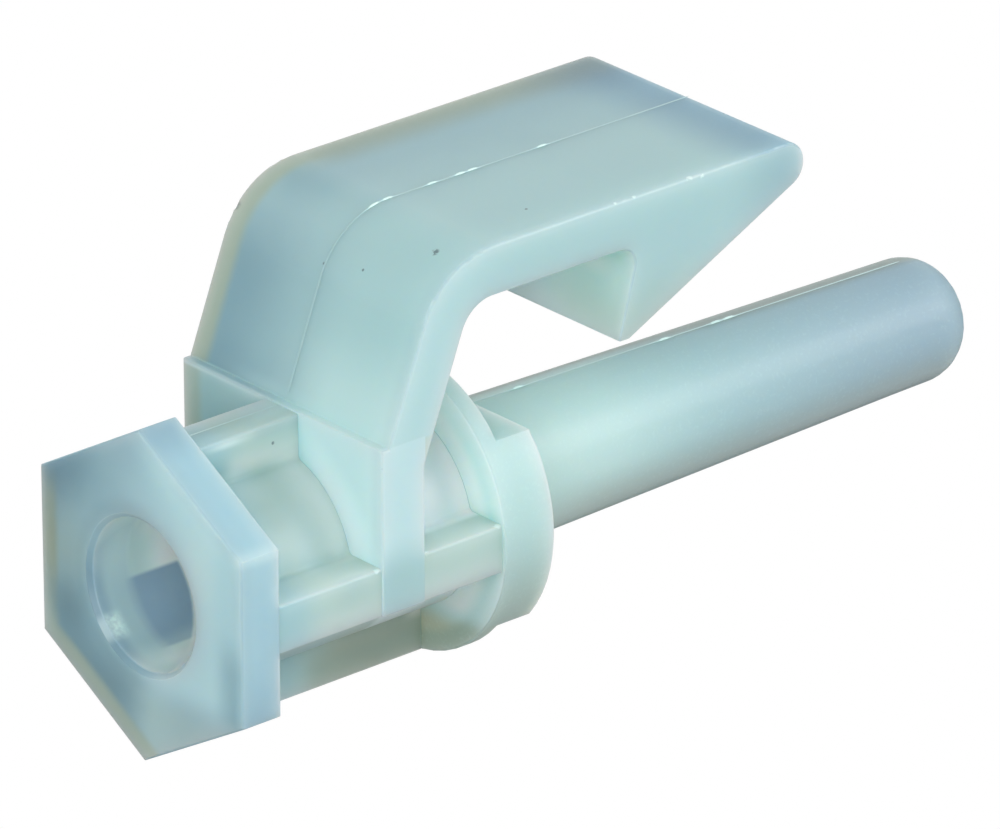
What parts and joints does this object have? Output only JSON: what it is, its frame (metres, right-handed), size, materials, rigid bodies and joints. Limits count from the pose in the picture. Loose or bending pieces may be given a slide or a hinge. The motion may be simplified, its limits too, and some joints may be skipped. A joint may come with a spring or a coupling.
{
  "type": "snap-in circuit board support",
  "caption": "One-piece nylon board support: hexagonal foot with a screw hole, ribbed tube, shoulder and tall locating pin, with a side arm whose hook snaps over the board's edge.",
  "frame": {"origin": "middle of the screw hole's mouth, on the underside of the hexagonal foot", "axes": "+Z along the locating pin, away from the foot; +X from the pin towards the arm with the hook; Y along the width of the arm, with the foot's flats facing +Y and -Y"},
  "size_m": [0.0099, 0.006, 0.0206],
  "materials": {
    "nylon": "satin, natural milky nylon that lets some light through"
  },
  "bodies": {
    "root": {"snap_support": "nylon"}
  },
  "joints": []
}
